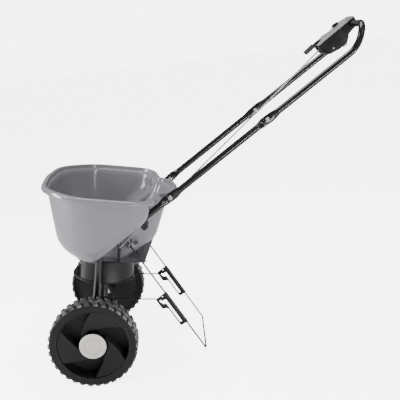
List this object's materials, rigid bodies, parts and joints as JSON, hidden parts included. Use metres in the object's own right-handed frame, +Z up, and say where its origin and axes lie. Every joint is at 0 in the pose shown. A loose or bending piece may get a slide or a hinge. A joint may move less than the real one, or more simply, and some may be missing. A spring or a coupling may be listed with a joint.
{
  "type": "garden broadcast spreader",
  "caption": "Walk-behind broadcast spreader: open moulded hopper on a bent tube frame, geared spinning disc in a round shroud, treaded wheels, wire stand and a shut-off hand lever.",
  "frame": {"origin": "on the ground, at the centre of the bounding box's base, with the spreader parked on its wheels and stand", "axes": "+Z up, -Y the way it is pushed, +Y towards the handle, +X the left side of the person who pushes it"},
  "size_m": [0.514, 0.9749, 0.9197],
  "materials": {
    "hopper_plastic": "smooth moulded, mid grey",
    "frame_paint": "black gloss coating",
    "black_plastic": "moulded, fine grain",
    "wheel_plastic": "moulded",
    "cap_plastic": "moulded, off-white",
    "zinc_steel": "zinc plated",
    "clear_grey": "glossy, light grey",
    "gear_plastic": "natural nylon",
    "grip_rubber": "ribbed"
  },
  "bodies": {
    "frame": {"axle_bushing_left": "gear_plastic", "axle_bushing_right": "gear_plastic", "base_plate": "black_plastic", "bracket_screw_left": "zinc_steel", "bracket_screw_right": "zinc_steel", "console_body": "black_plastic", "console_clamp": "zinc_steel", "console_cover": "clear_grey", "gearbox_lower": "black_plastic", "gearbox_screw_front": "zinc_steel", "gearbox_screw_rear": "zinc_steel", "gearbox_upper": "black_plastic", "hopper": "hopper_plastic", "hopper_screw_left": "zinc_steel", "hopper_screw_right": "zinc_steel", "lever_pin": "zinc_steel", "lower_joint_nut_left": "zinc_steel", "lower_joint_nut_right": "zinc_steel", "lower_joint_screw_left": "zinc_steel", "lower_joint_screw_right": "zinc_steel", "lower_tube_left": "frame_paint", "lower_tube_right": "frame_paint", "middle_tube_left": "frame_paint", "middle_tube_right": "frame_paint", "plate_screw_1": "zinc_steel", "plate_screw_2": "zinc_steel", "plate_screw_3": "zinc_steel", "plate_screw_4": "zinc_steel", "rod_guide": "black_plastic", "shroud": "black_plastic", "strut_bracket_left": "frame_paint", "strut_bracket_right": "frame_paint", "upper_handle": "frame_paint", "upper_joint_nut_left": "zinc_steel", "upper_joint_nut_right": "zinc_steel", "upper_joint_screw_left": "zinc_steel", "upper_joint_screw_right": "zinc_steel"},
    "axle_set": {"axle": "zinc_steel", "crown_gear": "gear_plastic", "drive_pin": "zinc_steel", "wheel_left": "wheel_plastic", "hub_cap_left": "cap_plastic", "axle_pin_left": "zinc_steel", "axle_pin_right": "zinc_steel"},
    "free_wheel": {"wheel_right": "wheel_plastic", "hub_cap_right": "cap_plastic"},
    "spinner": {"impeller_shaft": "zinc_steel", "pinion_gear": "gear_plastic", "impeller": "black_plastic", "agitator": "zinc_steel"},
    "lever": {"control_lever": "black_plastic", "lever_grip": "grip_rubber"},
    "rod": {"control_rod": "zinc_steel"},
    "gate": {"shutoff_gate": "black_plastic"},
    "dial": {"rate_dial": "black_plastic"},
    "stand": {"stand_wire": "frame_paint", "stand_clip_left": "black_plastic", "stand_clip_right": "black_plastic"},
    "strut_l": {"strut_left": "frame_paint"},
    "strut_r": {"strut_right": "frame_paint"}
  },
  "joints": [
    {"name": "axle_turn", "type": "hinge", "parent": "frame", "child": "axle_set", "pos_m": [0, -0.35923, 0.125], "axis": [1, 0, 0], "continuous": true},
    {"name": "free_wheel_turn", "type": "hinge", "parent": "frame", "child": "free_wheel", "pos_m": [0, -0.35923, 0.125], "axis": [1, 0, 0], "continuous": true},
    {"name": "spinner_turn", "type": "hinge", "parent": "frame", "child": "spinner", "pos_m": [0, -0.33844, 0.22281], "axis": [0, 0.2079, 0.9781], "continuous": true},
    {"name": "lever_swing", "type": "hinge", "parent": "frame", "child": "lever", "pos_m": [0.008, 0.41681, 0.83689], "axis": [-1, 0, 0], "range_deg": [0, 48.6]},
    {"name": "rod_slide", "type": "slide", "parent": "frame", "child": "rod", "axis": [-0.1197, 0.7928, 0.5976], "range_m": [0, 0.0181]},
    {"name": "gate_slide", "type": "slide", "parent": "frame", "child": "gate", "axis": [0, 0.9781, -0.2079], "range_m": [0, 0.0119]},
    {"name": "dial_turn", "type": "hinge", "parent": "frame", "child": "dial", "pos_m": [-0.011, 0.43635, 0.89742], "axis": [0, -0.5446, 0.8387], "range_deg": [-140, 140]},
    {"name": "stand_fold", "type": "hinge", "parent": "frame", "child": "stand", "pos_m": [0, -0.229, 0.3529], "axis": [-1, 0, 0], "range_deg": [0, 20]},
    {"name": "strut_left_turn", "type": "hinge", "parent": "frame", "child": "strut_l", "pos_m": [0.104, -0.30738, 0.19577], "axis": [-1, 0, 0], "range_deg": [0, 38.8]},
    {"name": "strut_right_turn", "type": "hinge", "parent": "frame", "child": "strut_r", "pos_m": [-0.104, -0.30738, 0.19577], "axis": [-1, 0, 0], "range_deg": [0, 38.8]}
  ],
  "couplings": [
    {"joint": "spinner_turn", "follows": "axle_turn", "ratio": -4},
    {"joint": "lever_swing", "follows": "rod_slide", "rad_per_m": 46.812},
    {"joint": "gate_slide", "follows": "rod_slide", "ratio": 0.6512},
    {"joint": "strut_left_turn", "follows": "stand_fold", "ratio": 1.93},
    {"joint": "strut_right_turn", "follows": "stand_fold", "ratio": 1.93}
  ]
}
